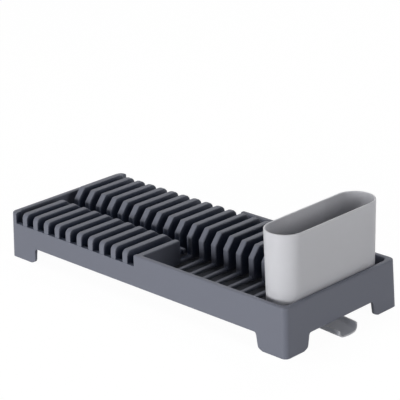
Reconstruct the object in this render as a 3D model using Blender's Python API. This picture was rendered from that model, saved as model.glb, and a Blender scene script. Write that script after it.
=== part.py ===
"""Countertop dish drainer: slotted rack, drip tray, swivel drain spout and utensil cup.

Metres, +Z up. X runs along the rack from the plate end to the cup end, Y from front to back.
The pieces are laid out about the middle of the rack and moved at the end, so that the
origin is the middle of the whole footprint, drawn-out spout included.
"""
import math

import bmesh
import bpy
from mathutils import Vector

# Rack walls
RACK_LENGTH = 0.420
RACK_DEPTH = 0.1725
RIM_HEIGHT = 0.0538
SLOT_BOTTOM = 0.0412
WALL = 0.0058
WALL_AT_FOOT = 0.0028
WALL_LEAN_share = 0.03
CORNER_OUTSIDE = 0.006
CORNER_INSIDE = 0.008
RIM_ROUND = 0.0014
FOOT_LIFT = 0.0005

# Feet: widths where the arches between them start, and how the arches widen downwards
ARCH_HEIGHT_LONG = 0.0186
ARCH_HEIGHT_END = 0.0177
FOOT_LONG_LEFT = 0.0416
FOOT_LONG_RIGHT = 0.0405
FOOT_END_NEAR = 0.0356
FOOT_END_FAR = 0.0384
SPREAD_LONG_LEFT = 0.0006
SPREAD_LONG_RIGHT = 0.0030
SPREAD_END_NEAR = 0.0030
SPREAD_END_FAR = 0.0010
ARCH_CORNER = 0.003
FOOT_EDGE_RUN = 0.009
FOOT_EDGE_RISE = 0.0024
FOOT_EDGE_ROUND = 0.004

# Ribs and slots; places along the depth run from the foot of the back wall
RIB_PITCH = 0.01831
RIB_THICKNESS = 0.0076
END_POST = 0.0108
PLATE_SLOTS = 11
CUP_BAY = 0.0575
RIB_UNDERSIDE = 0.026
RIB_RECESS = 0.0003
RIB_SOFTENING = 0.0015
FRONT_RIB_TOP = 0.0555
FRONT_RIB_ROUND = 0.0055
FRONT_RIB_FALL = 0.0172
PEAK_ROUND = 0.0015
VALLEY_HEIGHT = 0.040
REAR_RIB_SHOULDER = 0.0512
REAR_RIB_TOP = 0.0633
REAR_RIB_ROUND = 0.0065
SHOULDER_ROUND = 0.002
BACK_TO_PEAK = 0.1116
BACK_TO_PARTITION_END = 0.1095
BACK_TO_RIB_FACE = 0.0932
BACK_TO_TOP_START = 0.0833
BACK_TO_RIB_END = 0.0212
SLAT_TOP = 0.0305
SLAT_WIDTH = 0.005
SLAT_SOFTENING = 0.001

# Tie bars that cross the ribs and the slats of the cup bay
PLATE_BAR_TOP = 0.040
PLATE_BAR_DEPTH = 0.006
PLATE_BAR_WIDTH = 0.005
BACK_TO_BAR_FRONT = 0.1003
BACK_TO_BAR_REAR = 0.0677
SLAT_BAR_DEPTH = 0.0020
SLAT_BAR_RISE = 0.0004
SLAT_BAR_share = 0.22

# Snap lugs for the tray
LUG_LENGTH = 0.014
LUG_REACH = 0.0018
LUG_HEIGHT = 0.003
LUG_NOSE = 0.0008
LUG_SPREAD_share = 0.31

# Foot pads
PAD_RADIUS = 0.005
PAD_THICKNESS = 0.0024
PAD_SET_IN = 0.0115
PAD_CHAMFER = 0.0005
PAD_BLOCK = 0.019
PAD_BLOCK_HEIGHT = 0.009

# Drip tray
TRAY_SIDE_CLEARANCE = 0.0008
TRAY_FLANGE = 0.0034
TRAY_FLANGE_THICKNESS = 0.002
TRAY_SHEET = 0.0018
TRAY_LEAN_share = 0.10
TRAY_CORNER = 0.012
TRAY_FLOOR_LEFT = 0.0225
TRAY_FLOOR_OUTLET = 0.017
TRAY_FLOOR_RIGHT = 0.0182
OUTLET_FLAT = 0.015
OUTLET_SLOTS = 3
OUTLET_SLOT_INNER = 0.0075
OUTLET_SLOT_OUTER = 0.0125
OUTLET_SLOT_ANGLE = math.radians(84)
BOSS_RADIUS = 0.0042
BOSS_CAP_RADIUS = 0.006
BOSS_CAP_RISE = 0.0022

# Drain spout
PIVOT_SET_IN = 0.042
PIVOT_Y = -0.0018
SPOUT_REACH = 0.052
SPOUT_HUB_RADIUS = 0.017
SPOUT_ROOT_HALF = 0.0146
SPOUT_TAPER_share = 0.005
SPOUT_SHEET = 0.0016
SPOUT_UNDERSIDE = 0.0050
SPOUT_WALL_HEIGHT = 0.0084
SPOUT_BELLY_ROUND = 0.0066
SPOUT_FALL_share = 0.078
SPOUT_FALL_START = 0.002
SPOUT_TIP_ROUND = 0.0055
SPOUT_NOSE = 0.0025
SPOUT_COLLAR_RADIUS = 0.0064
SPOUT_COLLAR_TOP = 0.0122

# Pivot pin
PIN_RADIUS = 0.002
PIN_LENGTH = 0.0115
PIN_HEAD_RADIUS = 0.006
PIN_HEAD_THICKNESS = 0.0016
PIN_CHAMFER = 0.0006

# Utensil cup
CUP_TOP = 0.122
CUP_HALF_WIDTH = 0.0219
CUP_CORNER = 0.0214
CUP_SET_IN = 0.030
CUP_END_CLEARANCE = 0.0050
CUP_SHIFT = 0.0015
CUP_LEAN_share = 0.017
CUP_WALL = 0.002
CUP_FLOOR = 0.0022
CUP_FOOT_RING = 0.0016
CUP_FOOT_RING_WIDTH = 0.003
CUP_BASE_ROUND = 0.005
CUP_LIP_ROUND = 0.0008
CUP_SLOTS = 8
CUP_SLOT_PITCH = 0.0145
CUP_SLOT_WIDTH = 0.004
CUP_SLOT_LENGTH = 0.022

# Fits between pieces
FIT_GAP = 0.0003
TURN_CLEARANCE = 0.0002
PIN_CLEARANCE = 0.0001
OVERRUN = 0.006
WELD = 0.000002

# Rounding steps
ARC_STEPS = 3
SMALL_ROUND = 0.002
SMALL_STEPS = 1
CORNER_STEPS = 6
CUP_STEPS = 10
ROUND_STEPS = 32
PAD_STEPS = 24

SLATE = (0.178, 0.198, 0.235, 1.0)
CUP_GREY = (0.53, 0.525, 0.545, 1.0)
PAD_BLACK = (0.02, 0.02, 0.022, 1.0)
PIN_GREY = (0.12, 0.13, 0.15, 1.0)


def rounded_outline(corners, steps=ARC_STEPS):
    """Turn a list of (u, v, radius) corners into outline points with arcs."""
    outline = []
    for index, (u, v, radius) in enumerate(corners):
        corner = Vector((u, v))
        if radius <= 0:
            outline.append(corner)
            continue
        before = (Vector(corners[index - 1][:2]) - corner).normalized()
        after = (Vector(corners[(index + 1) % len(corners)][:2]) - corner).normalized()
        half = before.angle(after) / 2
        reach = radius / math.tan(half)
        centre = corner + (before + after).normalized() * radius / math.sin(half)
        first = corner + before * reach - centre
        last = corner + after * reach - centre
        start = math.atan2(first.y, first.x)
        sweep = math.atan2(last.y, last.x) - start
        sweep = (sweep + math.pi) % math.tau - math.pi
        turns = steps if radius > SMALL_ROUND else SMALL_STEPS
        for step in range(turns + 1):
            angle = start + sweep * step / turns
            point = centre + Vector((math.cos(angle), math.sin(angle))) * radius
            if not outline or (point - outline[-1]).length > WELD:
                outline.append(point)
    if (outline[0] - outline[-1]).length < WELD:
        outline.pop()
    return outline


def rounded_plan(half_x, half_y, radius, steps=CORNER_STEPS):
    """Return a rounded rectangle about the origin."""
    corners = [
        (-half_x, -half_y, radius),
        (half_x, -half_y, radius),
        (half_x, half_y, radius),
        (-half_x, half_y, radius),
    ]
    return rounded_outline(corners, steps)


def circle(radius, steps=ROUND_STEPS):
    """Return a circle about the origin."""
    turns = [math.tau * step / steps for step in range(steps)]
    return [Vector((math.cos(turn), math.sin(turn))) * radius for turn in turns]


def loft(name, rows, loop=False):
    """Skin rows of points; the ends are capped, or joined to each other in a loop."""
    work = bmesh.new()
    rings = [[work.verts.new(point) for point in row] for row in rows]
    pairs = list(zip(rings, rings[1:]))
    if loop:
        pairs.append((rings[-1], rings[0]))
    else:
        work.faces.new(rings[0])
        work.faces.new(rings[-1])
    for low, high in pairs:
        for index in range(len(low)):
            following = (index + 1) % len(low)
            work.faces.new((low[index], low[following], high[following], high[index]))
    bmesh.ops.recalc_face_normals(work, faces=work.faces[:])
    mesh = bpy.data.meshes.new(name)
    work.to_mesh(mesh)
    work.free()
    made = bpy.data.objects.new(name, mesh)
    bpy.context.scene.collection.objects.link(made)
    return made


def prism(name, outline, axis, low, high):
    """Extrude an outline along X, Y or Z between two places."""
    def place(point, along):
        u, v = point
        if axis == "X":
            return (along, u, v)
        if axis == "Y":
            return (u, along, v)
        return (u, v, along)
    return loft(name, [[place(point, along) for point in outline] for along in (low, high)])


def block(name, low, high):
    """Make a box between two opposite corners."""
    outline = [(low[0], low[1]), (high[0], low[1]), (high[0], high[1]), (low[0], high[1])]
    return prism(name, outline, "Z", low[2], high[2])


def turned(name, profile, centre_x, centre_y, steps=ROUND_STEPS):
    """Revolve (radius, height) points about an upright axis; flat faces close both ends."""
    rows = []
    for radius, height in profile:
        rows.append([(centre_x + p.x, centre_y + p.y, height) for p in circle(radius, steps)])
    return loft(name, rows)


def bake(target):
    """Keep the result of the modifiers as the mesh."""
    bpy.context.view_layer.update()
    graph = bpy.context.evaluated_depsgraph_get()
    mesh = bpy.data.meshes.new_from_object(target.evaluated_get(graph))
    target.modifiers.clear()
    work = bmesh.new()
    work.from_mesh(mesh)
    bmesh.ops.remove_doubles(work, verts=work.verts[:], dist=WELD)
    bmesh.ops.dissolve_degenerate(work, edges=work.edges[:], dist=WELD)
    work.to_mesh(mesh)
    work.free()
    mesh.name = target.name
    target.data = mesh


def combine(target, tool, operation):
    """Join, cut or intersect the target with the tool, which is used up."""
    modifier = target.modifiers.new("solid", "BOOLEAN")
    modifier.operation = operation
    modifier.solver = "EXACT"
    modifier.object = tool
    bake(target)
    bpy.data.objects.remove(tool)
    return target


def soften(target, width, segments=2):
    """Round the edges where the flanks meet the outline."""
    modifier = target.modifiers.new("soft_edges", "BEVEL")
    modifier.width = width
    modifier.segments = segments
    modifier.limit_method = "ANGLE"
    modifier.angle_limit = math.radians(62)
    modifier.use_clamp_overlap = True
    bake(target)
    return target


def gather(name, pieces):
    """Put separate solids that do not meet in one object."""
    work = bmesh.new()
    for piece in pieces:
        work.from_mesh(piece.data)
        bpy.data.objects.remove(piece)
    mesh = bpy.data.meshes.new(name)
    work.to_mesh(mesh)
    work.free()
    made = bpy.data.objects.new(name, mesh)
    bpy.context.scene.collection.objects.link(made)
    return made


def dress(target, material_name, colour, roughness):
    """Give the piece its own material."""
    material = bpy.data.materials.new(material_name)
    material.use_nodes = True
    shader = material.node_tree.nodes["Principled BSDF"]
    shader.inputs["Base Color"].default_value = colour
    shader.inputs["Roughness"].default_value = roughness
    shader.inputs["Metallic"].default_value = 0.0
    target.data.materials.clear()
    target.data.materials.append(material)
    return target


def front_face(height):
    """Y of the front wall's outer face at a height; the wall leans in as it rises."""
    return -RACK_DEPTH / 2 + WALL_LEAN_share * height


def wall_inset(height):
    """How far the wall's inner face stands in from the foot of its outer face."""
    thickness = WALL_AT_FOOT + (WALL - WALL_AT_FOOT) * height / RIM_HEIGHT
    return thickness + WALL_LEAN_share * height


def from_back(run):
    """Y of a place measured from the foot of the back wall."""
    return RACK_DEPTH / 2 - run


def pivot_x():
    """X of the spout's axis."""
    return RACK_LENGTH / 2 - PIVOT_SET_IN


def cup_x():
    """X of the utensil cup's middle."""
    return RACK_LENGTH / 2 - CUP_SET_IN


def rib_right(index):
    """X of the right flank of a rib; rib 0 is the post at the plate end."""
    return -RACK_LENGTH / 2 + END_POST + RIB_PITCH * index


def rib_left(index):
    """X of the left flank of a rib."""
    return rib_right(index) - RIB_THICKNESS


def rib_middle(index):
    """X of the middle of a rib, and of the slat that runs on from it."""
    return rib_right(index) - RIB_THICKNESS / 2


def last_rib():
    """Index of the last rib before the cup bay; the mug well takes as many as fit."""
    room = RACK_LENGTH / 2 - CUP_BAY - rib_right(PLATE_SLOTS)
    return PLATE_SLOTS + max(1, int(room / RIB_PITCH))


def rack_row(inset, height, radius):
    """Place one rounded rectangle of the rack wall."""
    lean = WALL_LEAN_share * height
    plan = rounded_plan(RACK_LENGTH / 2 - inset - lean, RACK_DEPTH / 2 - inset - lean, radius)
    return [(p.x, p.y, height) for p in plan]


def rack_wall():
    """Sweep the leaning wall section, with its rounded rim, round the rack."""
    rows = [rack_row(0, FOOT_LIFT, CORNER_OUTSIDE)]
    for step in range(ARC_STEPS + 1):
        angle = math.pi / 2 * step / ARC_STEPS
        inset = RIM_ROUND * (1 - math.cos(angle))
        rows.append(rack_row(inset, RIM_HEIGHT - RIM_ROUND + RIM_ROUND * math.sin(angle), CORNER_OUTSIDE))
    for step in range(ARC_STEPS + 1):
        angle = math.pi / 2 * (1 - step / ARC_STEPS)
        inset = WALL - RIM_ROUND * (1 - math.cos(angle))
        rows.append(rack_row(inset, RIM_HEIGHT - RIM_ROUND + RIM_ROUND * math.sin(angle), CORNER_INSIDE))
    rows.append(rack_row(WALL_AT_FOOT, FOOT_LIFT, CORNER_INSIDE))
    return loft("rack_body", rows, loop=True)


def arch_outline(left, right, height, spread_left, spread_right):
    """Outline of the opening between two feet, with the feet's rounded inner edges."""
    foot_left = left - spread_left
    foot_right = right + spread_right
    corners = [
        (foot_left - FOOT_EDGE_RUN, FOOT_LIFT - OVERRUN, 0),
        (foot_right + FOOT_EDGE_RUN, FOOT_LIFT - OVERRUN, 0),
        (foot_right + FOOT_EDGE_RUN, FOOT_LIFT - FOOT_EDGE_RISE / 2, 0),
        (foot_right, FOOT_LIFT + FOOT_EDGE_RISE, FOOT_EDGE_ROUND),
        (right, height, ARCH_CORNER),
        (left, height, ARCH_CORNER),
        (foot_left, FOOT_LIFT + FOOT_EDGE_RISE, FOOT_EDGE_ROUND),
        (foot_left - FOOT_EDGE_RUN, FOOT_LIFT - FOOT_EDGE_RISE / 2, 0),
    ]
    return rounded_outline(corners)


def rear_rib_corners():
    """Corners of the high rear part of a rib, from its front face to the back wall."""
    wall_middle = from_back(wall_inset(VALLEY_HEIGHT) - WALL_AT_FOOT / 2)
    end = from_back(BACK_TO_RIB_END)
    return [
        (from_back(BACK_TO_RIB_FACE), REAR_RIB_SHOULDER, SHOULDER_ROUND),
        (from_back(BACK_TO_TOP_START), REAR_RIB_TOP, SHOULDER_ROUND),
        (end, REAR_RIB_TOP, REAR_RIB_ROUND),
        (end, VALLEY_HEIGHT, SHOULDER_ROUND),
        (wall_middle, VALLEY_HEIGHT, 0),
        (wall_middle, RIB_UNDERSIDE, 0),
    ]


def plate_rib_outline():
    """Side view of a plate rib: low front part, valley and high rear part."""
    peak = from_back(BACK_TO_PEAK)
    corners = [
        (front_face(RIB_UNDERSIDE) + RIB_RECESS, RIB_UNDERSIDE, 0),
        (front_face(FRONT_RIB_TOP) + RIB_RECESS, FRONT_RIB_TOP, FRONT_RIB_ROUND),
        (peak, FRONT_RIB_TOP, PEAK_ROUND),
        (peak + FRONT_RIB_FALL, VALLEY_HEIGHT, 0),
        (from_back(BACK_TO_RIB_FACE), VALLEY_HEIGHT, 0),
    ]
    return rounded_outline(corners + rear_rib_corners())


def partition_outline():
    """Side view of the wall between the plate slots and the mug well."""
    wall_middle = front_face(RIM_HEIGHT) + WALL / 2
    end = from_back(BACK_TO_PARTITION_END)
    corners = [
        (wall_middle, RIB_UNDERSIDE, 0),
        (wall_middle, RIM_HEIGHT, 0),
        (end, RIM_HEIGHT, PEAK_ROUND),
        (end, SLAT_TOP, 0),
        (from_back(BACK_TO_RIB_FACE), SLAT_TOP, 0),
    ]
    return rounded_outline(corners + rear_rib_corners())


def well_rib_outline():
    """Side view of a rib behind the mug well: the high rear part alone."""
    return rounded_outline([(from_back(BACK_TO_RIB_FACE), RIB_UNDERSIDE, 0)] + rear_rib_corners())


def make_ribs():
    """Make every rib, softened along its edges."""
    ribs = []
    for index in range(1, last_rib() + 1):
        outline = plate_rib_outline()
        if index == PLATE_SLOTS:
            outline = partition_outline()
        if index > PLATE_SLOTS:
            outline = well_rib_outline()
        rib = prism("rib", outline, "X", rib_left(index), rib_right(index))
        ribs.append(soften(rib, RIB_SOFTENING))
    return gather("ribs", ribs)


def make_slats():
    """Make the low slats that carry mugs and the utensil cup."""
    slats = []
    front = front_face(SLAT_TOP) + WALL_AT_FOOT / 2
    end_wall = RACK_LENGTH / 2 - wall_inset(SLAT_TOP)
    index = PLATE_SLOTS + 1
    while rib_middle(index) + SLAT_WIDTH < end_wall:
        middle = rib_middle(index)
        back = from_back(BACK_TO_RIB_FACE) + OVERRUN if index <= last_rib() else -front
        low = (middle - SLAT_WIDTH / 2, front, RIB_UNDERSIDE)
        high = (middle + SLAT_WIDTH / 2, back, SLAT_TOP)
        slats.append(soften(block("slat", low, high), SLAT_SOFTENING, 1))
        index += 1
    return gather("slats", slats)


def make_bars():
    """Make the tie bars: two for the plate section and two under the cup bay's slats."""
    left = -RACK_LENGTH / 2 + wall_inset(PLATE_BAR_TOP) - WALL_AT_FOOT / 2
    right = RACK_LENGTH / 2 - wall_inset(SLAT_TOP) + WALL_AT_FOOT / 2
    half = PLATE_BAR_WIDTH / 2
    bars = []
    ends = ((BACK_TO_BAR_FRONT, PLATE_SLOTS), (BACK_TO_BAR_REAR, last_rib()))
    for run, last in ends:
        low = (left, from_back(run) - half, PLATE_BAR_TOP - PLATE_BAR_DEPTH)
        high = (rib_middle(last), from_back(run) + half, PLATE_BAR_TOP)
        bars.append(soften(block("bar", low, high), SLAT_SOFTENING, 1))
    underside = RIB_UNDERSIDE + SLAT_BAR_RISE
    for side in (-1, 1):
        middle = side * SLAT_BAR_share * RACK_DEPTH
        low = (rib_middle(last_rib()), middle - half, underside)
        high = (right, middle + half, underside + SLAT_BAR_DEPTH)
        bars.append(block("bar", low, high))
    return gather("bars", bars)


def make_lugs():
    """Make the snap lugs on the long walls that hold the tray's flange."""
    top = RIB_UNDERSIDE - TRAY_FLANGE_THICKNESS - 2 * FIT_GAP
    wall = -RACK_DEPTH / 2 + wall_inset(top)
    lugs = []
    for side in (-1, 1):
        outline = [
            (-side * (wall - WALL_AT_FOOT / 2), top - LUG_HEIGHT),
            (-side * wall, top - LUG_HEIGHT),
            (-side * (wall + LUG_REACH), top - LUG_NOSE),
            (-side * (wall + LUG_REACH), top),
            (-side * (wall - WALL_AT_FOOT / 2), top),
        ]
        for step in (-1, 0, 1):
            middle = step * LUG_SPREAD_share * RACK_LENGTH
            lug = prism("lug", outline, "X", middle - LUG_LENGTH / 2, middle + LUG_LENGTH / 2)
            lugs.append(lug)
    return gather("lugs", lugs)


def pad_places():
    """Return where the four pads sit."""
    x = RACK_LENGTH / 2 - PAD_SET_IN
    y = RACK_DEPTH / 2 - PAD_SET_IN
    return [(-x, -y), (x, -y), (x, y), (-x, y)]


def make_pad_blocks():
    """Make the solid corner blocks that carry the foot pads."""
    blocks = []
    outer_x = RACK_LENGTH / 2 - WALL_AT_FOOT / 2
    outer_y = RACK_DEPTH / 2 - WALL_AT_FOOT / 2
    plan_x = RACK_LENGTH / 2 - PAD_BLOCK
    plan_y = RACK_DEPTH / 2 - PAD_BLOCK
    for sign_x in (-1, 1):
        for sign_y in (-1, 1):
            outline = [
                (sign_x * plan_x, sign_y * plan_y),
                (sign_x * outer_x, sign_y * plan_y),
                (sign_x * outer_x, sign_y * outer_y),
                (sign_x * plan_x, sign_y * outer_y),
            ]
            blocks.append(prism("pad_block", outline, "Z", FOOT_LIFT + FIT_GAP, PAD_BLOCK_HEIGHT))
    made = gather("pad_blocks", blocks)
    rows = [
        rack_row(WALL_AT_FOOT / 2, height, CORNER_OUTSIDE)
        for height in (FOOT_LIFT - OVERRUN, PAD_BLOCK_HEIGHT + OVERRUN)
    ]
    return combine(made, loft("envelope", rows), "INTERSECT")


def make_rack():
    """Build the rack moulding."""
    rack = rack_wall()
    over_x = RACK_LENGTH / 2 + OVERRUN
    over_y = RACK_DEPTH / 2 + OVERRUN
    notch = block(
        "notch",
        (rib_right(0), -over_y, SLOT_BOTTOM),
        (rib_left(PLATE_SLOTS), over_y, RIM_HEIGHT + OVERRUN),
    )
    combine(rack, notch, "DIFFERENCE")
    long_arch = arch_outline(
        -RACK_LENGTH / 2 + FOOT_LONG_LEFT,
        RACK_LENGTH / 2 - FOOT_LONG_RIGHT,
        ARCH_HEIGHT_LONG,
        SPREAD_LONG_LEFT,
        SPREAD_LONG_RIGHT,
    )
    combine(rack, prism("arch", long_arch, "Y", -over_y, over_y), "DIFFERENCE")
    end_arch = arch_outline(
        -RACK_DEPTH / 2 + FOOT_END_NEAR,
        RACK_DEPTH / 2 - FOOT_END_FAR,
        ARCH_HEIGHT_END,
        SPREAD_END_NEAR,
        SPREAD_END_FAR,
    )
    combine(rack, prism("arch", end_arch, "X", -over_x, over_x), "DIFFERENCE")
    combine(rack, make_pad_blocks(), "UNION")
    sockets = []
    for x, y in pad_places():
        profile = [
            (PAD_RADIUS + FIT_GAP, FOOT_LIFT - OVERRUN),
            (PAD_RADIUS + FIT_GAP, PAD_THICKNESS + FIT_GAP),
        ]
        sockets.append(turned("socket", profile, x, y, PAD_STEPS))
    combine(rack, gather("sockets", sockets), "DIFFERENCE")
    combine(rack, make_ribs(), "UNION")
    combine(rack, make_slats(), "UNION")
    combine(rack, make_bars(), "UNION")
    combine(rack, make_lugs(), "UNION")
    return dress(rack, "rack_plastic", SLATE, 0.55)


def floor_outline(lift, top, side):
    """Side view of the tray's inside or outside: its floor falls to the outlet."""
    left = -RACK_LENGTH / 2
    right = RACK_LENGTH / 2
    return [
        (left, TRAY_FLOOR_LEFT + lift),
        (pivot_x() - OUTLET_FLAT, TRAY_FLOOR_OUTLET + lift),
        (pivot_x() + OUTLET_FLAT, TRAY_FLOOR_OUTLET + lift),
        (right, TRAY_FLOOR_RIGHT + lift),
        (right, top + side),
        (left, top + side),
    ]


def tray_plan(inset, height, radius):
    """One level of the tray's basin; its sides lean out as they rise."""
    top = RIB_UNDERSIDE - FIT_GAP
    wall_inside = wall_inset(top) + TRAY_SIDE_CLEARANCE
    lean = TRAY_LEAN_share * (top - height)
    half_x = RACK_LENGTH / 2 - wall_inside - inset - lean
    half_y = RACK_DEPTH / 2 - wall_inside - inset - lean
    return [(p.x, p.y, height) for p in rounded_plan(half_x, half_y, radius)]


def make_tray():
    """Build the drip tray: flange, basin, outlet slots and pivot boss."""
    top = RIB_UNDERSIDE - FIT_GAP
    low = TRAY_FLOOR_OUTLET - TRAY_SHEET - OVERRUN
    depth = RACK_DEPTH / 2
    basin = [tray_plan(TRAY_FLANGE, height, TRAY_CORNER) for height in (low, top)]
    tray = loft("drip_tray", basin)
    outside = prism("outside", floor_outline(-TRAY_SHEET, top, OVERRUN), "Y", -depth, depth)
    combine(tray, outside, "INTERSECT")
    half_x = RACK_LENGTH / 2 - wall_inset(top) - TRAY_SIDE_CLEARANCE
    half_y = RACK_DEPTH / 2 - wall_inset(top) - TRAY_SIDE_CLEARANCE
    flange = rounded_plan(half_x, half_y, TRAY_CORNER + TRAY_FLANGE)
    plate = prism("flange", flange, "Z", top - TRAY_FLANGE_THICKNESS, top)
    combine(tray, plate, "UNION")
    hollow = loft("hollow", [
        tray_plan(TRAY_FLANGE + TRAY_SHEET, height, TRAY_CORNER - TRAY_SHEET)
        for height in (low, top + OVERRUN)
    ])
    inside = prism("inside", floor_outline(0, top, 2 * OVERRUN), "Y", -depth, depth)
    combine(hollow, inside, "INTERSECT")
    combine(tray, hollow, "DIFFERENCE")
    cap_top = TRAY_FLOOR_OUTLET + BOSS_CAP_RISE
    boss = [
        (BOSS_RADIUS, SPOUT_UNDERSIDE),
        (BOSS_RADIUS, TRAY_FLOOR_OUTLET - TRAY_SHEET / 2),
        (BOSS_CAP_RADIUS, TRAY_FLOOR_OUTLET - TRAY_SHEET / 2),
        (BOSS_CAP_RADIUS, cap_top - PIN_CHAMFER),
        (BOSS_CAP_RADIUS - PIN_CHAMFER, cap_top),
    ]
    combine(tray, turned("boss", boss, pivot_x(), PIVOT_Y), "UNION")
    bore = [
        (PIN_RADIUS + PIN_CLEARANCE, SPOUT_UNDERSIDE - OVERRUN),
        (PIN_RADIUS + PIN_CLEARANCE, SPOUT_UNDERSIDE + PIN_LENGTH),
    ]
    combine(tray, turned("bore", bore, pivot_x(), PIVOT_Y), "DIFFERENCE")
    slots = []
    for index in range(OUTLET_SLOTS):
        middle = math.tau * index / OUTLET_SLOTS
        turns = [middle + OUTLET_SLOT_ANGLE * (step / CUP_STEPS - 0.5) for step in range(CUP_STEPS + 1)]
        outline = [(OUTLET_SLOT_OUTER, turn) for turn in turns]
        outline += [(OUTLET_SLOT_INNER, turn) for turn in reversed(turns)]
        points = [
            (pivot_x() + radius * math.cos(turn), PIVOT_Y + radius * math.sin(turn))
            for radius, turn in outline
        ]
        slots.append(prism("slot", points, "Z", low, TRAY_FLOOR_OUTLET + OVERRUN))
    combine(tray, gather("slots", slots), "DIFFERENCE")
    return dress(tray, "tray_plastic", SLATE, 0.5)


def spout_plan(wall, reach):
    """Plan of the spout about its pivot: round hub, tapering trough and bowed nose."""
    radius = SPOUT_HUB_RADIUS - wall
    root = SPOUT_ROOT_HALF - wall
    slope = SPOUT_TAPER_share
    square = 1 + slope * slope
    start = (root * slope + math.sqrt(square * radius * radius - root * root)) / square
    turn = math.atan2(root - slope * start, start)
    arc = [turn + (math.tau - 2 * turn) * step / ROUND_STEPS for step in range(ROUND_STEPS + 1)]
    points = [(radius * math.cos(angle), radius * math.sin(angle)) for angle in arc]
    for step in range(CUP_STEPS + 1):
        share = 2 * step / CUP_STEPS - 1
        bow = reach - SPOUT_NOSE * share * share
        points.append((bow, share * (root - slope * reach)))
    return [(pivot_x() + u, PIVOT_Y + v) for u, v in points]


def spout_side(reach):
    """Side view of the spout's rims about its pivot; they fall and turn down at the tip."""
    fall = SPOUT_FALL_share * (reach - SPOUT_FALL_START)
    top = SPOUT_UNDERSIDE + SPOUT_WALL_HEIGHT
    corners = [
        (-SPOUT_HUB_RADIUS - OVERRUN, -OVERRUN, 0),
        (reach, -OVERRUN, 0),
        (reach, top - fall, SPOUT_TIP_ROUND),
        (SPOUT_FALL_START, top, 0),
        (-SPOUT_HUB_RADIUS - OVERRUN, top, 0),
    ]
    return [(pivot_x() + p.x, p.y) for p in rounded_outline(corners, CORNER_STEPS)]


def spout_belly(name, wall, reach):
    """Solid with the trough's rounded underside, or its rounded inside for a wall."""
    high = SPOUT_UNDERSIDE + SPOUT_WALL_HEIGHT + OVERRUN
    rows = []
    for along in (-SPOUT_HUB_RADIUS - OVERRUN, SPOUT_FALL_START, reach):
        fall = SPOUT_FALL_share * max(0, along - SPOUT_FALL_START)
        half = SPOUT_HUB_RADIUS + FIT_GAP - wall
        if along > SPOUT_FALL_START:
            half = SPOUT_ROOT_HALF - SPOUT_TAPER_share * along + FIT_GAP - wall
        low = SPOUT_UNDERSIDE + wall - fall
        corners = [
            (half, high + wall, 0),
            (-half, high + wall, 0),
            (-half, low, SPOUT_BELLY_ROUND - wall),
            (half, low, SPOUT_BELLY_ROUND - wall),
        ]
        section = rounded_outline(corners, CORNER_STEPS)
        rows.append([(pivot_x() + along, PIVOT_Y + p.x, p.y) for p in section])
    return loft(name, rows)


def make_spout():
    """Build the swivel spout: hub dish with a bearing collar, and an open trough."""
    across = SPOUT_HUB_RADIUS + OVERRUN
    high = SPOUT_UNDERSIDE + SPOUT_WALL_HEIGHT + OVERRUN
    reach = SPOUT_REACH + OVERRUN
    spout = prism("drain_spout", spout_plan(0, SPOUT_REACH), "Z", -OVERRUN, high)
    side = prism("side", spout_side(SPOUT_REACH), "Y", PIVOT_Y - across, PIVOT_Y + across)
    combine(spout, side, "INTERSECT")
    combine(spout, spout_belly("belly", 0, reach), "INTERSECT")
    hollow = prism("hollow", spout_plan(SPOUT_SHEET, reach), "Z", -OVERRUN, high + OVERRUN)
    combine(hollow, spout_belly("inside", SPOUT_SHEET, reach + OVERRUN), "INTERSECT")
    combine(spout, hollow, "DIFFERENCE")
    collar = [
        (SPOUT_COLLAR_RADIUS, SPOUT_UNDERSIDE + SPOUT_SHEET / 2),
        (SPOUT_COLLAR_RADIUS, SPOUT_COLLAR_TOP),
    ]
    combine(spout, turned("collar", collar, pivot_x(), PIVOT_Y), "UNION")
    bore = [
        (BOSS_RADIUS + TURN_CLEARANCE, -OVERRUN),
        (BOSS_RADIUS + TURN_CLEARANCE, high),
    ]
    combine(spout, turned("bore", bore, pivot_x(), PIVOT_Y), "DIFFERENCE")
    shift = Vector((pivot_x(), PIVOT_Y, 0))
    for vertex in spout.data.vertices:
        vertex.co -= shift
    spout.location = shift
    return dress(spout, "spout_plastic", SLATE, 0.45)


def make_pin():
    """Build the headed pin that holds the spout up against the tray."""
    top = SPOUT_UNDERSIDE - FIT_GAP
    base = top - PIN_HEAD_THICKNESS
    end = SPOUT_UNDERSIDE + PIN_LENGTH - FIT_GAP
    profile = [
        (PIN_HEAD_RADIUS - PIN_CHAMFER, base),
        (PIN_HEAD_RADIUS, base + PIN_CHAMFER),
        (PIN_HEAD_RADIUS, top),
        (PIN_RADIUS, top),
        (PIN_RADIUS, end - PIN_CHAMFER),
        (PIN_RADIUS - PIN_CHAMFER, end),
    ]
    pin = turned("spout_pivot_pin", profile, pivot_x(), PIVOT_Y)
    return dress(pin, "pin_plastic", PIN_GREY, 0.4)


def cup_row(inset, height):
    """One level of the cup; its walls lean out as they rise."""
    shrink = CUP_LEAN_share * (CUP_TOP - height) + inset
    half_length = RACK_DEPTH / 2 - wall_inset(RIM_HEIGHT) - CUP_END_CLEARANCE
    plan = rounded_plan(
        CUP_HALF_WIDTH - shrink, half_length - shrink, CUP_CORNER - shrink, CUP_STEPS)
    return [(cup_x() + p.x, CUP_SHIFT + p.y, height) for p in plan]


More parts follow.
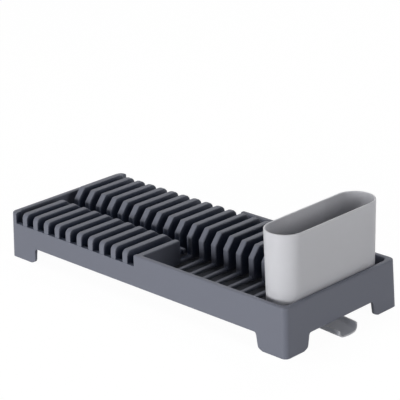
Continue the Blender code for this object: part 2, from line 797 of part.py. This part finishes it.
def make_cup():
    """Build the utensil cup: thin leaning walls, raised floor with drain slots."""
    base = SLAT_TOP + FIT_GAP
    floor_under = base + CUP_FOOT_RING
    floor_top = floor_under + CUP_FLOOR
    rows = [cup_row(CUP_BASE_ROUND + CUP_FOOT_RING_WIDTH, floor_under)]
    rows.append(cup_row(CUP_BASE_ROUND + CUP_FOOT_RING_WIDTH, base))
    for step in range(ARC_STEPS + 1):
        angle = math.pi / 2 * step / ARC_STEPS
        inset = CUP_BASE_ROUND * (1 - math.sin(angle))
        rows.append(cup_row(inset, base + CUP_BASE_ROUND * (1 - math.cos(angle))))
    for step in range(ARC_STEPS + 1):
        angle = math.pi / 2 * step / ARC_STEPS
        inset = CUP_LIP_ROUND * (1 - math.cos(angle))
        rows.append(cup_row(inset, CUP_TOP - CUP_LIP_ROUND * (1 - math.sin(angle))))
    for step in range(ARC_STEPS + 1):
        angle = math.pi / 2 * step / ARC_STEPS
        inset = CUP_WALL - CUP_LIP_ROUND * (1 - math.sin(angle))
        rows.append(cup_row(inset, CUP_TOP - CUP_LIP_ROUND * (1 - math.cos(angle))))
    for step in range(ARC_STEPS + 1):
        angle = math.pi / 2 * step / ARC_STEPS
        inset = CUP_WALL + CUP_BASE_ROUND * (1 - math.cos(angle))
        rows.append(cup_row(inset, floor_top + CUP_BASE_ROUND * (1 - math.sin(angle))))
    cup = loft("utensil_cup", rows)
    half = CUP_SLOT_WIDTH / 2
    long_half = CUP_SLOT_LENGTH / 2
    slots = []
    for index in range(CUP_SLOTS):
        middle = CUP_SHIFT + CUP_SLOT_PITCH * (index - (CUP_SLOTS - 1) / 2)
        corners = [
            (cup_x() - long_half, middle - half, half),
            (cup_x() + long_half, middle - half, half),
            (cup_x() + long_half, middle + half, half),
            (cup_x() - long_half, middle + half, half),
        ]
        slots.append(prism("slot", rounded_outline(corners), "Z", base - OVERRUN, floor_top + OVERRUN))
    combine(cup, gather("slots", slots), "DIFFERENCE")
    return dress(cup, "cup_plastic", CUP_GREY, 0.35)


def make_pads():
    """Build the four foot pads, each in its own socket."""
    for number, (x, y) in enumerate(pad_places(), 1):
        profile = [
            (PAD_RADIUS - PAD_CHAMFER, 0),
            (PAD_RADIUS, PAD_CHAMFER),
            (PAD_RADIUS, PAD_THICKNESS),
        ]
        pad = turned("foot_pad_%d" % number, profile, x, y, PAD_STEPS)
        dress(pad, "pad_rubber_%d" % number, PAD_BLACK, 0.9)


def centre_all():
    """Bring the middle of the whole footprint, spout tip included, to the origin."""
    left = -RACK_LENGTH / 2 + WALL_LEAN_share * FOOT_LIFT
    right = pivot_x() + SPOUT_REACH
    for item in bpy.data.objects:
        item.location.x -= (left + right) / 2


def main():
    """Clear the scene and build every piece."""
    for item in list(bpy.data.objects):
        bpy.data.objects.remove(item)
    make_rack()
    make_tray()
    make_spout()
    make_pin()
    make_cup()
    make_pads()
    centre_all()


main()
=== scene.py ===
"""Looks of the countertop dish drainer: smooth moulded pieces, plastics, studio and camera."""
import math

import bpy
from mathutils import Matrix, Vector


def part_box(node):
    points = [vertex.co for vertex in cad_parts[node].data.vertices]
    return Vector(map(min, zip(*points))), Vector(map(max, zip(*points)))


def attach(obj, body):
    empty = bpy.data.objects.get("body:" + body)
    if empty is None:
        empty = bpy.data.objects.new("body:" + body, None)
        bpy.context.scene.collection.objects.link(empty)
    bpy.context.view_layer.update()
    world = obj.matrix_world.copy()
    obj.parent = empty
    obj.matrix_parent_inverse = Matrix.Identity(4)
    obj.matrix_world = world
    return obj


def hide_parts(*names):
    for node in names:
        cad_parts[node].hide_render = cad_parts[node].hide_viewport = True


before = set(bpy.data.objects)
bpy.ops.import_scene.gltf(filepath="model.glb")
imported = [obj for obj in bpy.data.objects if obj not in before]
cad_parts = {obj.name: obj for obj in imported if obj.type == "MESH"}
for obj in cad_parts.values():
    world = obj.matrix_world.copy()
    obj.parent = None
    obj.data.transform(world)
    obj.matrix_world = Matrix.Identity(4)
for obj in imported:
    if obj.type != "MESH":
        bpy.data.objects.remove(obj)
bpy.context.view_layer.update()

bl_info = {
    "name": "Dish drainer",
    "version": (1, 0, 0),
    "blender": (4, 5, 0),
    "location": "3D Viewport > Sidebar > Drainer",
    "description": "Builds the looks of a countertop dish drainer round its packed frame",
    "category": "Object",
}

CUP_LOW, CUP_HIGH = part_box("utensil_cup")
RACK_LOW, RACK_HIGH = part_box("rack_body")
FOOT_PADS = 4

# Merging of the CAD's loose triangles
MERGE_GAP = 0.000004
FLAT_ANGLE = math.radians(0.4)

# Base, foot ring and lip of the cup
BASE_ROUND = 0.005
RING_INSET = 0.003
RING_FLANK = 0.0004
RING_HEIGHT = 0.001
LIP_ROUND_share = 0.4

# Drain slots in the cup's floor
SLOTS = 8
SLOT_PITCH = 0.0145
SLOT_LENGTH = 0.022
SLOT_WIDTH = 0.004
SLOT_CORNER = 0.0019
CUTTER_HEIGHT = 0.02

# How near a point lies to the level that it is picked by, and how upright a face's normal is
NEAR = 0.0001
NEAR_LIP = 0.0005
MOSTLY_UP = 0.9
STRAIGHT_DOWN = -0.9999

# Width of the strip along an edge that is painted paler, as wear and as painted highlight
WEAR_AND_HIGHLIGHT_WIDTH = 0.0011

# Soft lamps: name, place, size, watts
LAMP_AIM = Vector((0.0, 0.0, 0.03))
LAMPS = (
    ("front", (-0.2, -2.3, 0.32), 0.6, 32.6),
    ("overhead", (-0.9, -0.3, 2.3), 0.8, 6.5),
    ("behind", (-0.6, 1.5, 1.9), 0.8, 8.5),
    ("side", (2.2, -0.2, 0.8), 0.7, 12.3),
)

# Floor and world, in the lamps' light and as the camera sees them
FLOOR_SIZE = 30.0
FLOOR_GREY = (0.8, 0.8, 0.8, 1.0)
WHITE = (1.0, 1.0, 1.0, 1.0)
FLOOR_WHITE_LEVEL = 1.075
FLOOR_WHITE_share = 0.9
WORLD_DIM_LEVEL = 0.05
WORLD_WHITE_LEVEL = 1.0

# From the rack's middle to the point on the worktop that the camera looks at
AIM_ALONG = -0.170366
AIM_ACROSS = 0.178059
SENSOR_WIDTH = 36.0
FAR_CLIP = 50.0


# Shader maths

class Wire:
    """A shader socket that takes part in sums."""

    def __init__(self, paint, socket):
        self.paint = paint
        self.socket = socket

    def __add__(self, other):
        return self.paint.sum("ADD", self, other)

    def __radd__(self, other):
        return self.paint.sum("ADD", other, self)

    def __sub__(self, other):
        return self.paint.sum("SUBTRACT", self, other)

    def __rsub__(self, other):
        return self.paint.sum("SUBTRACT", other, self)

    def __mul__(self, other):
        return self.paint.sum("MULTIPLY", self, other)

    def __rmul__(self, other):
        return self.paint.sum("MULTIPLY", other, self)


class Paint:
    """A material's or world's node tree, built node by node."""

    def __init__(self, owner):
        self.owner = owner
        owner.use_nodes = True
        self.tree = owner.node_tree
        self.tree.nodes.clear()

    def node(self, kind, settings=None, values=None, out=0):
        """Add a node with its settings, then its values or links, and give one of its outputs."""
        made = self.tree.nodes.new(kind)
        for key, value in (settings or {}).items():
            setattr(made, key, value)
        for key, value in (values or {}).items():
            if isinstance(value, Wire):
                self.tree.links.new(value.socket, made.inputs[key])
            else:
                made.inputs[key].default_value = value
        return Wire(self, made.outputs[out])

    def sum(self, operation, first, second):
        return self.node("ShaderNodeMath", {"operation": operation}, {0: first, 1: second})

    def place(self):
        """Object coordinates."""
        return self.node("ShaderNodeTexCoord", out="Object")

    def noise(self, where, scale, detail, roughness=0.5):
        values = {"Vector": where, "Scale": scale, "Detail": detail, "Roughness": roughness}
        return self.node("ShaderNodeTexNoise", None, values)

    def blend(self, factor, first, second):
        """Mix two colours."""
        settings = {"data_type": "RGBA", "blend_type": "MIX"}
        return self.node("ShaderNodeMix", settings, {0: factor, 6: first, 7: second}, out=2)

    def ramp(self, value, low, high):
        """Ease a value from 0 at low to 1 at high."""
        values = {"Value": value, "From Min": low, "From Max": high}
        return self.node("ShaderNodeMapRange", {"interpolation_type": "SMOOTHSTEP"}, values)

    def painted_shade_in_hollows(self, reach):
        """Mask of painted shade: 1 deep in a slot or corner, 0 on open faces."""
        settings = {"samples": 8, "only_local": True}
        opening = self.node("ShaderNodeAmbientOcclusion", settings, {"Distance": reach}, out=1)
        return self.ramp(1.0 - opening, low=0.06, high=0.46)

    def edges(self, width):
        """Mask of edges painted paler, as wear and as painted highlight: 1 along outward edges, 0
        on flat faces.
        """
        settings = {"samples": 8, "only_local": True, "inside": True}
        solid = self.node("ShaderNodeAmbientOcclusion", settings, {"Distance": width}, out=1)
        return self.ramp(1.0 - solid, low=0.1, high=0.5)

    def plain_rays(self):
        """1 for what the camera sees, straight, mirrored or through a clear piece."""
        made = self.tree.nodes.new("ShaderNodeLightPath")
        seen, mirrored, through = (
            Wire(self, made.outputs[name])
            for name in ("Is Camera Ray", "Is Glossy Ray", "Is Transmission Ray"))
        return self.sum("MAXIMUM", seen, self.sum("MAXIMUM", mirrored, through))

    def surface(self, kind, shader):
        """Put the shader on the output node of this kind."""
        made = self.tree.nodes.new(kind)
        self.tree.links.new(shader.socket, made.inputs["Surface"])

    def finish(self, values):
        """Close the tree with one plain shader of these values, and give the material."""
        shader = self.node("ShaderNodeBsdfPrincipled", None, values)
        self.surface("ShaderNodeOutputMaterial", shader)
        return self.owner


# Materials

def tone(colour, share, lift=0.0):
    """The colour times a share, plus a lift, at most white."""
    return [min(1.0, channel * share + lift) for channel in colour[:3]] + [1.0]


def moulded_plastic(name, colour, roughness, grain, depth, mottle=0.05, painted_shade=0.0, reach=0.016,
                    painted_shade_tint=(1.0, 1.0, 1.0), wear_and_highlight=0.0, soften=0.0, alpha=1.0, milky=0.0):
    """Plastic from a finely textured mould: faint cloudiness, satin patches and micro-grain, with
    painted shade that darkens narrow places, and edges painted paler, partly as wear and partly as
    painted highlight.

    grain and depth are the fineness and height of the texture, mottle is how far the cloudiness
    changes the colour, and the painted shade's share and tint how far a place narrower than reach
    is darkened and tinted by painted shade. The edge share is how much paler an edge is painted, as
    wear and as painted highlight, soften the radius that edges seem to have, and milky the share of
    the light that goes in."""
    paint = Paint(bpy.data.materials.new(name))
    where = paint.place()
    cloud = paint.noise(where, scale=18.0, detail=3.0)
    swirl = paint.noise(where, scale=95.0, detail=2.0)
    base = paint.blend(
        cloud * 0.7 + swirl * 0.3, tone(colour, 1.0 - mottle), tone(colour, 1.0 + mottle))
    satin = (cloud - 0.5) * 0.12 + (swirl - 0.5) * 0.06 + roughness
    if wear_and_highlight:
        # Edges painted paler, partly as wear and partly as painted highlight
        wear_and_highlight_mask = paint.edges(WEAR_AND_HIGHLIGHT_WIDTH) * (swirl * 0.8 + 0.6)
        base = paint.blend(wear_and_highlight_mask, base, tone(colour, 1.0 + wear_and_highlight, lift=0.01))
        satin = satin - wear_and_highlight_mask * 0.1
    if painted_shade:
        # Painted shade: slots, corners and the cup's inside are darkened and tinted in the colour
        painted_shade_colour = [channel * share for channel, share in zip(colour, painted_shade_tint)]
        base = paint.blend(paint.painted_shade_in_hollows(reach), base, tone(painted_shade_colour, 1.0 - painted_shade))
    fine = paint.noise(where, grain, detail=3.0, roughness=0.6)
    relief = {"Strength": 0.35, "Distance": depth, "Height": fine}
    if soften:
        relief["Normal"] = paint.node("ShaderNodeBevel", {"samples": 6}, {"Radius": soften})
    bump = paint.node("ShaderNodeBump", None, relief)
    return paint.finish({
        "Base Color": base, "Roughness": satin, "Normal": bump, "Alpha": alpha,
        "Subsurface Weight": milky, "Subsurface Radius": (1.0, 1.0, 1.0),
        "Subsurface Scale": 0.01})


def rubber(name, colour):
    """Soft matt rubber with a slight bloom."""
    paint = Paint(bpy.data.materials.new(name))
    bloom = paint.noise(paint.place(), scale=240.0, detail=3.0)
    base = paint.blend(bloom * 0.5, tone(colour, 1.0), tone(colour, 1.8, lift=0.01))
    bump = paint.node(
        "ShaderNodeBump", None, {"Strength": 0.5, "Distance": 0.00008, "Height": bloom})
    return paint.finish({"Base Color": base, "Roughness": bloom * 0.1 + 0.82, "Normal": bump})


# Modelling helpers

def alone(thing):
    """Make this the only selected object, and the active one."""
    if bpy.context.object and bpy.context.object.mode != "OBJECT":
        bpy.ops.object.mode_set(mode="OBJECT")
    bpy.ops.object.select_all(action="DESELECT")
    thing.select_set(True)
    bpy.context.view_layer.objects.active = thing


def pick(thing, kind, test):
    """Select the edges or faces that pass a test on the mesh, in edit mode."""
    bpy.ops.mesh.select_mode(type=kind)
    bpy.ops.mesh.select_all(action="DESELECT")
    bpy.ops.object.mode_set(mode="OBJECT")
    mesh = thing.data
    items = {"EDGE": mesh.edges, "FACE": mesh.polygons}[kind]
    for item in items:
        item.select = test(mesh, item)
    bpy.ops.object.mode_set(mode="EDIT")


def settle(thing):
    """Move the object's place into its mesh."""
    alone(thing)
    bpy.ops.object.transform_apply(location=True, rotation=True, scale=True)


def apply_modifier(thing, kind, **settings):
    """Add a modifier, set it and apply it."""
    alone(thing)
    modifier = thing.modifiers.new(kind.lower(), kind)
    for key, value in settings.items():
        setattr(modifier, key, value)
    bpy.ops.object.modifier_apply(modifier=modifier.name)


def smooth(thing, degrees=35.0):
    """Shade smooth, but for edges sharper than the angle, with flat faces left flat."""
    alone(thing)
    bpy.ops.object.shade_smooth_by_angle(angle=math.radians(degrees))
    apply_modifier(thing, "WEIGHTED_NORMAL", keep_sharp=True)


def dress(thing, material, body, node):
    """Give the piece its material, body and slot, and let it stand for its node."""
    thing.data.materials.clear()
    thing.data.materials.append(material)
    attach(thing, body)
    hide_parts(node)


def merged_copy(node, name):
    """Copy a node's mesh, with its loose triangles merged to clean faces, and shade it."""
    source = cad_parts[node]
    piece = bpy.data.objects.new(name, source.data.copy())
    bpy.context.scene.collection.objects.link(piece)
    alone(piece)
    bpy.ops.object.mode_set(mode="EDIT")
    bpy.ops.mesh.select_all(action="SELECT")
    bpy.ops.mesh.remove_doubles(threshold=MERGE_GAP)
    bpy.ops.mesh.dissolve_limited(angle_limit=FLAT_ANGLE)
    bpy.ops.object.mode_set(mode="OBJECT")
    smooth(piece)
    return piece


# Settings

class RackLook(bpy.types.PropertyGroup):
    """Finish of the rack, tray and spout."""
    colour: bpy.props.FloatVectorProperty(
        name="Colour", description="Colour of the rack's plastic", subtype="COLOR", size=4,
        default=(0.166, 0.177, 0.222, 1.0), min=0.0, max=1.0)
    roughness: bpy.props.FloatProperty(
        name="Roughness", description="How matt the plastic is", subtype="FACTOR",
        default=0.52, min=0.0, max=1.0)
    tray: bpy.props.FloatVectorProperty(
        name="Tray colour", description="Colour of the drip tray under the slats", subtype="COLOR",
        size=4, default=(0.065, 0.069, 0.085, 1.0), min=0.0, max=1.0)
    spout: bpy.props.FloatVectorProperty(
        name="Spout colour", description="Colour of the thin, smoky spout", subtype="COLOR",
        size=4, default=(0.70, 0.72, 0.80, 1.0), min=0.0, max=1.0)


class CupLook(bpy.types.PropertyGroup):
    """Shape and finish of the utensil cup."""
    colour: bpy.props.FloatVectorProperty(
        name="Colour", description="Colour of the cup's plastic", subtype="COLOR", size=4,
        default=(0.8, 0.805, 0.862, 1.0), min=0.0, max=1.0)
    roughness: bpy.props.FloatProperty(
        name="Roughness", description="How matt the cup is", subtype="FACTOR",
        default=0.42, min=0.0, max=1.0)
    wall: bpy.props.FloatProperty(
        name="Wall", description="Thickness of the cup's wall", default=0.002,
        unit="LENGTH", min=0.001, max=0.004)
    corner: bpy.props.FloatProperty(
        name="Corner", description="Corner radius at the cup's rim", default=0.0214,
        unit="LENGTH", min=0.005, max=0.022)
    lean: bpy.props.FloatProperty(
        name="Lean", description="How far each wall leans in from rim to base", default=0.00155,
        unit="LENGTH", min=0.0, max=0.006)


class StageLook(bpy.types.PropertyGroup):
    """Camera and light."""
    azimuth: bpy.props.FloatProperty(
        name="Azimuth", description="Camera's turn about the object", subtype="ANGLE",
        default=math.radians(45.514))
    elevation: bpy.props.FloatProperty(
        name="Elevation", description="Camera's height above the horizon", subtype="ANGLE",
        default=math.radians(20.516))
    roll: bpy.props.FloatProperty(
        name="Roll", description="Camera's tilt about its line of sight", subtype="ANGLE",
        default=math.radians(-2.141))
    distance: bpy.props.FloatProperty(
        name="Distance", description="From the camera to the point it looks at",
        default=2.073135, unit="LENGTH")
    lens: bpy.props.FloatProperty(
        name="Lens", description="Focal length in millimetres", default=152.057)
    level: bpy.props.FloatProperty(
        name="Light", description="Level of the studio lamps", default=1.0, min=0.0, max=4.0)


# Operators

class DRAINER_OT_rack(bpy.types.Operator):
    """Dress the slotted rack moulding"""
    bl_idname = "drainer.rack"
    bl_label = "Rack"

    def execute(self, context):
        look = context.scene.rack_look
        rack = merged_copy("rack_body", "rack_moulding")
        # The rack's plastic gets painted shade in its slots, and edges painted paler as wear and as
        # painted highlight
        finish = moulded_plastic(
            "slate_rack_plastic", look.colour, look.roughness, grain=1500.0, depth=0.00006,
            painted_shade=0.82, painted_shade_tint=(0.7, 1.0, 1.6), wear_and_highlight=0.9, soften=0.0026)
        dress(rack, finish, "rack", "rack_body")
        return {"FINISHED"}


class DRAINER_OT_tray(bpy.types.Operator):
    """Dress the drip tray and the pin under it"""
    bl_idname = "drainer.tray"
    bl_label = "Tray and pin"

    def execute(self, context):
        look = context.scene.rack_look
        tray = merged_copy("drip_tray", "drip_tray_moulding")
        # The tray's plastic gets painted shade in its narrow places, and edges painted paler as
        # wear and as painted highlight
        finish = moulded_plastic(
            "charcoal_tray_plastic", look.tray, roughness=0.5, grain=1500.0, depth=0.00005,
            painted_shade=0.6, wear_and_highlight=0.2)
        dress(tray, finish, "rack", "drip_tray")
        pin = merged_copy("spout_pivot_pin", "headed_pin")
        finish = moulded_plastic(
            "pin_plastic_grey", (0.11, 0.12, 0.14), roughness=0.4, grain=2000.0, depth=0.00003)
        dress(pin, finish, "rack", "spout_pivot_pin")
        return {"FINISHED"}


class DRAINER_OT_spout(bpy.types.Operator):
    """Dress the swivel drain spout"""
    bl_idname = "drainer.spout"
    bl_label = "Spout"

    def execute(self, context):
        look = context.scene.rack_look
        spout = merged_copy("drain_spout", "drain_spout_trough")
        # The spout's edges are painted paler, as wear and as painted highlight
        finish = moulded_plastic(
            "smoky_spout_plastic", look.spout, roughness=0.4, grain=1800.0, depth=0.00004,
            wear_and_highlight=1.0, alpha=0.82)
        dress(spout, finish, "spout", "drain_spout")
        return {"FINISHED"}


class DRAINER_OT_cup(bpy.types.Operator):
    """Model the utensil cup from its rim outline downwards"""
    bl_idname = "drainer.cup"
    bl_label = "Utensil cup"

    def execute(self, context):
        look = context.scene.cup_look
        cup = self.shell(look)
        self.drain(cup)
        smooth(cup, degrees=40.0)
        # The cup gets painted shade inside, and edges painted a little paler as wear and as painted
        # highlight
        finish = moulded_plastic(
            "pale_cup_plastic", look.colour, look.roughness, grain=1300.0, depth=0.00004,
            mottle=0.02, painted_shade=0.44, reach=0.05, wear_and_highlight=0.05, milky=0.5)
        dress(cup, finish, "cup", "utensil_cup")
        return {"FINISHED"}

    def shell(self, look):
        """Model the walls, the rounded base and lip, and the foot ring."""
        size = CUP_HIGH - CUP_LOW
        middle = (CUP_HIGH + CUP_LOW) / 2
        bpy.ops.object.select_all(action="DESELECT")
        bpy.ops.mesh.primitive_plane_add(size=1.0, location=(middle.x, middle.y, CUP_HIGH.z))
        cup = bpy.context.object
        cup.name = "cup_shell"
        cup.scale = (size.x, size.y, 1.0)
        settle(cup)
        bpy.ops.object.mode_set(mode="EDIT")
        bpy.ops.mesh.select_all(action="SELECT")
        bpy.ops.mesh.bevel(offset=look.corner, segments=24, affect="VERTICES", offset_type="OFFSET")
        pick(cup, "FACE", lambda mesh, face: True)
        bpy.ops.mesh.inset(thickness=look.lean, depth=-size.z, use_even_offset=True)
        pick(cup, "EDGE", lambda mesh, edge: all(
            mesh.vertices[i].co.z < CUP_LOW.z + NEAR for i in edge.vertices))
        bpy.ops.mesh.bevel(offset=BASE_ROUND, segments=8, affect="EDGES")
        bpy.ops.object.mode_set(mode="OBJECT")
        apply_modifier(cup, "SOLIDIFY", thickness=look.wall, offset=1.0, use_even_offset=True)
        bpy.ops.object.mode_set(mode="EDIT")
        pick(cup, "FACE", lambda mesh, face: (
            face.center.z > CUP_HIGH.z - NEAR_LIP and face.normal.z > MOSTLY_UP))
        bpy.ops.mesh.region_to_loop()
        bpy.ops.mesh.bevel(offset=look.wall * LIP_ROUND_share, segments=4, affect="EDGES")
        pick(cup, "FACE", lambda mesh, face: (
            face.center.z < CUP_LOW.z + NEAR and face.normal.z < STRAIGHT_DOWN))
        bpy.ops.mesh.inset(thickness=RING_INSET, depth=0.0)
        bpy.ops.mesh.inset(thickness=RING_FLANK, depth=-RING_HEIGHT)
        bpy.ops.object.mode_set(mode="OBJECT")
        return cup

    def drain(self, cup):
        """Cut the row of round-ended drain slots through the floor."""
        middle = (CUP_HIGH + CUP_LOW) / 2
        first = middle.y - SLOT_PITCH * (SLOTS - 1) / 2
        bpy.ops.object.select_all(action="DESELECT")
        bpy.ops.mesh.primitive_cube_add(size=1.0, location=(middle.x, first, CUP_LOW.z))
        slot = bpy.context.object
        slot.scale = (SLOT_LENGTH, SLOT_WIDTH, CUTTER_HEIGHT)
        settle(slot)
        bpy.ops.object.mode_set(mode="EDIT")
        pick(slot, "EDGE", lambda mesh, edge: abs(
            mesh.vertices[edge.vertices[0]].co.z
            - mesh.vertices[edge.vertices[1]].co.z) > CUTTER_HEIGHT / 2)
        bpy.ops.mesh.bevel(offset=SLOT_CORNER, segments=6, affect="EDGES")
        bpy.ops.object.mode_set(mode="OBJECT")
        apply_modifier(
            slot, "ARRAY", count=SLOTS, use_relative_offset=False, use_constant_offset=True,
            constant_offset_displace=(0.0, SLOT_PITCH, 0.0))
        apply_modifier(cup, "BOOLEAN", operation="DIFFERENCE", solver="EXACT", object=slot)
        bpy.data.objects.remove(slot)


class DRAINER_OT_pads(bpy.types.Operator):
    """Dress the four rubber foot pads"""
    bl_idname = "drainer.pads"
    bl_label = "Foot pads"

    def execute(self, context):
        finish = rubber("black_pad_rubber", (0.02, 0.02, 0.022))
        for number in range(1, FOOT_PADS + 1):
            pad = merged_copy("foot_pad_%d" % number, "rubber_pad_%d" % number)
            dress(pad, finish, "rack", "foot_pad_%d" % number)
        return {"FINISHED"}


class DRAINER_OT_stage(bpy.types.Operator):
    """Set the floor, the soft light and the camera"""
    bl_idname = "drainer.stage"
    bl_label = "Stage"

    def execute(self, context):
        scene = context.scene
        look = scene.stage_look
        self.lay_floor()
        self.light_world(scene)
        self.hang_lamps(scene, look)
        self.set_camera(scene, look)
        scene.view_settings.view_transform = "Standard"
        return {"FINISHED"}

    def lay_floor(self):
        """Lay the pale floor, which is white to the camera but for the shadow."""
        bpy.ops.object.select_all(action="DESELECT")
        bpy.ops.mesh.primitive_plane_add(size=FLOOR_SIZE, location=(0.0, 0.0, 0.0))
        floor = bpy.context.object
        floor.name = "floor"
        paint = Paint(bpy.data.materials.new("pale_floor"))
        lit = paint.node("ShaderNodeBsdfDiffuse", None, {"Color": FLOOR_GREY})
        white = paint.node(
            "ShaderNodeEmission", None, {"Color": WHITE, "Strength": FLOOR_WHITE_LEVEL})
        factor = paint.plain_rays() * FLOOR_WHITE_share
        paint.surface("ShaderNodeOutputMaterial", paint.node(
            "ShaderNodeMixShader", None, {0: factor, 1: lit, 2: white}))
        floor.data.materials.append(paint.owner)

    def light_world(self, scene):
        """Light the world dimly, and show it white to the camera."""
        world = bpy.data.worlds.new("studio")
        scene.world = world
        sky = Paint(world)
        dim, white = (
            sky.node("ShaderNodeBackground", None, {"Color": WHITE, "Strength": level})
            for level in (WORLD_DIM_LEVEL, WORLD_WHITE_LEVEL))
        sky.surface("ShaderNodeOutputWorld", sky.node(
            "ShaderNodeMixShader", None, {0: sky.plain_rays(), 1: dim, 2: white}))

    def hang_lamps(self, scene, look):
        """Hang the soft lamps, all turned to the object."""
        for name, place, size, power in LAMPS:
            light = bpy.data.lights.new(name, "AREA")
            light.size = size
            light.energy = power * look.level
            lamp = bpy.data.objects.new(name, light)
            lamp.location = place
            lamp.rotation_euler = (LAMP_AIM - Vector(place)).to_track_quat("-Z", "Y").to_euler()
            scene.collection.objects.link(lamp)

    def set_camera(self, scene, look):
        """Stand the camera where the photograph was taken from."""
        turn, rise = look.azimuth, look.elevation
        back = Vector((
            math.sin(turn) * math.cos(rise), -math.cos(turn) * math.cos(rise), math.sin(rise)))
        aside = Vector((math.cos(turn), math.sin(turn), 0.0))
        over = back.cross(aside)
        right = aside * math.cos(look.roll) + over * math.sin(look.roll)
        up = over * math.cos(look.roll) - aside * math.sin(look.roll)
        view = bpy.data.cameras.new("camera")
        view.lens = look.lens
        view.sensor_width = SENSOR_WIDTH
        view.clip_end = FAR_CLIP
        camera = bpy.data.objects.new("camera", view)
        scene.collection.objects.link(camera)
        middle = (RACK_LOW + RACK_HIGH) / 2
        aim = Vector((middle.x + AIM_ALONG, middle.y + AIM_ACROSS, 0.0))
        place = aim + back * look.distance
        camera.matrix_world = Matrix((
            (right.x, up.x, back.x, place.x),
            (right.y, up.y, back.y, place.y),
            (right.z, up.z, back.z, place.z),
            (0.0, 0.0, 0.0, 1.0)))
        scene.camera = camera


class DRAINER_PT_panel(bpy.types.Panel):
    """Lists the drainer's settings and steps"""
    bl_idname = "DRAINER_PT_panel"
    bl_label = "Dish drainer"
    bl_space_type = "VIEW_3D"
    bl_region_type = "UI"
    bl_category = "Drainer"

    def draw(self, context):
        layout = self.layout
        scene = context.scene
        for group, names in (
                (scene.rack_look, ("colour", "roughness", "tray", "spout")),
                (scene.cup_look, ("colour", "roughness", "wall", "corner", "lean")),
                (scene.stage_look, ("azimuth", "elevation", "roll", "distance", "lens", "level"))):
            for name in names:
                layout.prop(group, name)
        for step in STEPS:
            layout.operator(step.bl_idname)


STEPS = (
    DRAINER_OT_rack,
    DRAINER_OT_tray,
    DRAINER_OT_spout,
    DRAINER_OT_cup,
    DRAINER_OT_pads,
    DRAINER_OT_stage,
)
CLASSES = (RackLook, CupLook, StageLook) + STEPS + (DRAINER_PT_panel,)


def register():
    for entry in CLASSES:
        bpy.utils.register_class(entry)
    bpy.types.Scene.rack_look = bpy.props.PointerProperty(type=RackLook)
    bpy.types.Scene.cup_look = bpy.props.PointerProperty(type=CupLook)
    bpy.types.Scene.stage_look = bpy.props.PointerProperty(type=StageLook)


def unregister():
    del bpy.types.Scene.stage_look
    del bpy.types.Scene.cup_look
    del bpy.types.Scene.rack_look
    for entry in reversed(CLASSES):
        bpy.utils.unregister_class(entry)


def main():
    register()
    bpy.ops.drainer.rack()
    bpy.ops.drainer.tray()
    bpy.ops.drainer.spout()
    bpy.ops.drainer.cup()
    bpy.ops.drainer.pads()
    bpy.ops.drainer.stage()


if __name__ == "__main__":
    main()
